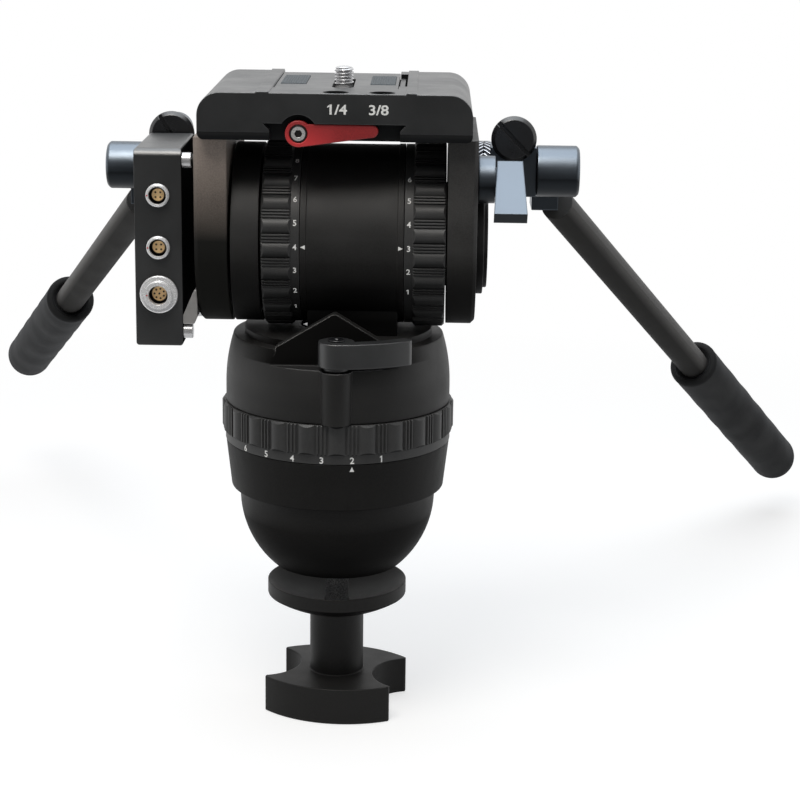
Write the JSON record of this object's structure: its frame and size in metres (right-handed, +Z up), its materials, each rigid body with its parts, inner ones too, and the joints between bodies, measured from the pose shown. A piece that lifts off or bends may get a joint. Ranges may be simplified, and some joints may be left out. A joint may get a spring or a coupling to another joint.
{
  "type": "fluid video head",
  "caption": "Bowl-mount fluid head for a video camera: damped pan and tilt with numbered dial rings, sliding camera plate, encoder box and twin pan bars.",
  "frame": {"origin": "centre of the half ball that seats in the tripod bowl", "axes": "+Z up along the pan axis, -Y toward the lens side, +X to the right seen from the lens side"},
  "size_m": [0.5467, 0.484, 0.335],
  "materials": {
    "black_casting": "satin black powder coat on a casting",
    "grey_brown_arm": "satin dark grey-brown coat",
    "black_anodised": "fine matte black anodise",
    "gloss_black": "smooth gloss black coat",
    "steel": "turned and plated",
    "damper": "greased machined discs",
    "grey_bracket": "bare light grey",
    "black_plastic": "moulded",
    "gold_contact": "gold plated",
    "red_lever": "satin red anodise",
    "pad_rubber": "ribbed rubber",
    "grip_foam": "soft matte foam",
    "level_metal": "black anodised ring",
    "level_vial": "tinted vial"
  },
  "bodies": {
    "base": {"half_ball": "black_casting", "base_bolts": "steel", "base_ring": "black_casting", "pan_spindle": "steel", "spindle_nut": "steel", "pan_bearings": "steel", "pan_damper": "damper", "tie_down_stud": "steel"},
    "clamp_cup": {"clamp_cup": "black_casting"},
    "tie_down_knob": {"tie_down_knob": "black_casting"},
    "pan_drag_ring": {"pan_drag_ring": "black_casting"},
    "pan_unit": {"pan_housing": "black_casting", "level_body": "level_metal", "level_glass": "level_vial", "tilt_drum": "black_casting", "left_drum": "black_casting", "counterbalance_spring": "steel"},
    "pan_lock": {"pan_lock_lever": "black_casting", "pan_lock_screw": "steel"},
    "counterbalance_ring": {"counterbalance_ring": "black_casting"},
    "tilt_drag_ring": {"tilt_drag_ring": "black_casting"},
    "tilt_unit": {"tilt_shaft": "steel", "tilt_bearings": "steel", "tilt_damper": "damper", "left_arm": "grey_brown_arm", "right_arm": "black_casting", "arm_cap": "black_casting", "platform": "black_anodised", "spare_screws": "steel", "rosette_left": "steel", "rosette_right": "steel", "encoder_box": "black_anodised", "box_bracket": "grey_bracket", "standoff_screws": "steel", "standoff_spacers": "black_plastic", "small_sockets": "steel", "small_inserts": "gold_contact", "large_socket": "steel", "large_insert": "gold_contact"},
    "tilt_lock": {"tilt_lock_lever": "black_casting"},
    "quick_lock": {"quick_lever": "red_lever", "quick_lever_screw": "steel"},
    "plate_jaw": {"plate_jaw": "black_anodised"},
    "camera_plate": {"camera_plate": "black_anodised", "plate_pads": "pad_rubber"},
    "camera_screw": {"camera_screw": "steel"},
    "left_bar": {"bar_rosette_left": "steel", "clamp_left": "black_casting", "tube_left": "black_anodised", "grip_left": "grip_foam"},
    "right_bar": {"bar_rosette_right": "steel", "clamp_right": "black_casting", "tube_right": "black_anodised", "grip_right": "grip_foam"},
    "left_knob": {"clamp_knob_left": "black_casting"},
    "right_knob": {"clamp_knob_right": "black_casting"},
    "left_coin_screw": {"coin_screw_left": "gloss_black"},
    "right_coin_screw": {"coin_screw_right": "gloss_black"}
  },
  "joints": [
    {"name": "pan", "type": "hinge", "parent": "base", "child": "pan_unit", "pos_m": [0, 0, 0.06], "axis": [0, 0, 1], "continuous": true},
    {"name": "tilt", "type": "hinge", "parent": "pan_unit", "child": "tilt_unit", "pos_m": [0, 0, 0.1345], "axis": [1, 0, 0], "range_deg": [-75, 60]},
    {"name": "pan_drag", "type": "hinge", "parent": "base", "child": "pan_drag_ring", "pos_m": [0, 0, 0.038], "axis": [0, 0, 1], "range_deg": [-15, 60]},
    {"name": "counterbalance", "type": "hinge", "parent": "pan_unit", "child": "counterbalance_ring", "pos_m": [0, 0, 0.1345], "axis": [1, 0, 0], "range_deg": [-45, 60]},
    {"name": "tilt_drag", "type": "hinge", "parent": "pan_unit", "child": "tilt_drag_ring", "pos_m": [0, 0, 0.1345], "axis": [1, 0, 0], "range_deg": [-30, 45]},
    {"name": "pan_lock", "type": "hinge", "parent": "pan_unit", "child": "pan_lock", "pos_m": [0.0014, -0.0545, 0.08], "axis": [0, 0, 1], "range_deg": [-40, 0]},
    {"name": "tilt_lock", "type": "hinge", "parent": "tilt_unit", "child": "tilt_lock", "pos_m": [0.07, -0.0285, 0.1664], "axis": [1, 0, 0], "range_deg": [-50, 40]},
    {"name": "quick_lock", "type": "hinge", "parent": "tilt_unit", "child": "quick_lock", "pos_m": [-0.0172, -0.052, 0.1905], "axis": [0, 1, 0], "range_deg": [0, 50]},
    {"name": "jaw_slide", "type": "slide", "parent": "tilt_unit", "child": "plate_jaw", "axis": [1, 0, 0], "range_m": [0, 0.0009]},
    {"name": "plate_slide", "type": "slide", "parent": "tilt_unit", "child": "camera_plate", "axis": [0, 1, 0], "range_m": [0, 0.06]},
    {"name": "screw_slide", "type": "slide", "parent": "camera_plate", "child": "camera_screw", "axis": [0, 1, 0], "range_m": [-0.015, 0.019]},
    {"name": "left_bar_pitch", "type": "hinge", "parent": "tilt_unit", "child": "left_bar", "pos_m": [-0.074, 0.046, 0.1603], "axis": [1, 0, 0], "range_deg": [-25, 9]},
    {"name": "right_bar_pitch", "type": "hinge", "parent": "tilt_unit", "child": "right_bar", "pos_m": [0.074, 0.046, 0.1603], "axis": [1, 0, 0], "range_deg": [-40, 60]},
    {"name": "left_knob_turn", "type": "hinge", "parent": "left_bar", "child": "left_knob", "pos_m": [-0.11, 0.046, 0.1603], "axis": [1, 0, 0], "range_deg": [-180, 180]},
    {"name": "right_knob_turn", "type": "hinge", "parent": "right_bar", "child": "right_knob", "pos_m": [0.11, 0.046, 0.1603], "axis": [1, 0, 0], "range_deg": [-180, 180]},
    {"name": "left_coin_turn", "type": "hinge", "parent": "left_bar", "child": "left_coin_screw", "pos_m": [-0.088, 0.036, 0.1779], "axis": [0, 1, 0], "range_deg": [-180, 180]},
    {"name": "right_coin_turn", "type": "hinge", "parent": "right_bar", "child": "right_coin_screw", "pos_m": [0.088, 0.036, 0.1779], "axis": [0, 1, 0], "range_deg": [-180, 180]},
    {"name": "cup_lift", "type": "slide", "parent": "base", "child": "clamp_cup", "axis": [0, 0, 1], "range_m": [0, 0.0036]},
    {"name": "tie_down", "type": "hinge", "parent": "clamp_cup", "child": "tie_down_knob", "pos_m": [0, 0, -0.09], "axis": [0, 0, 1], "range_deg": [0, 720]}
  ],
  "couplings": [
    {"joint": "jaw_slide", "follows": "quick_lock", "m_per_rad": 0.001},
    {"joint": "cup_lift", "follows": "tie_down", "m_per_rad": 0.00027852}
  ]
}
